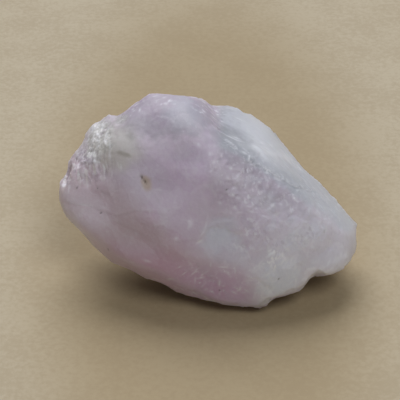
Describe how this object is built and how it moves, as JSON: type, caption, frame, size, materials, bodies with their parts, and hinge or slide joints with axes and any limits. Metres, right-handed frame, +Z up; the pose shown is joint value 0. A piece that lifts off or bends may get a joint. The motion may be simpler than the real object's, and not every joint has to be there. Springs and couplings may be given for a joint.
{
  "type": "kunzite crystal",
  "caption": "Rough lump of pale lilac kunzite, broken on every side, with a clean cleavage face, a splintered end and a flat break to rest on.",
  "frame": {"origin": "on the plane of the resting face, under the middle of the stone's box", "axes": "+Z up from the resting face, +X along the stone's length towards its tapered end, -Y the side of the broad face"},
  "size_m": [0.0564, 0.0354, 0.0351],
  "materials": {
    "kunzite": "milky translucent pale lilac stone, satin where it broke and glossy on the cleavage face"
  },
  "bodies": {
    "root": {"kunzite_crystal": "kunzite"}
  },
  "joints": []
}
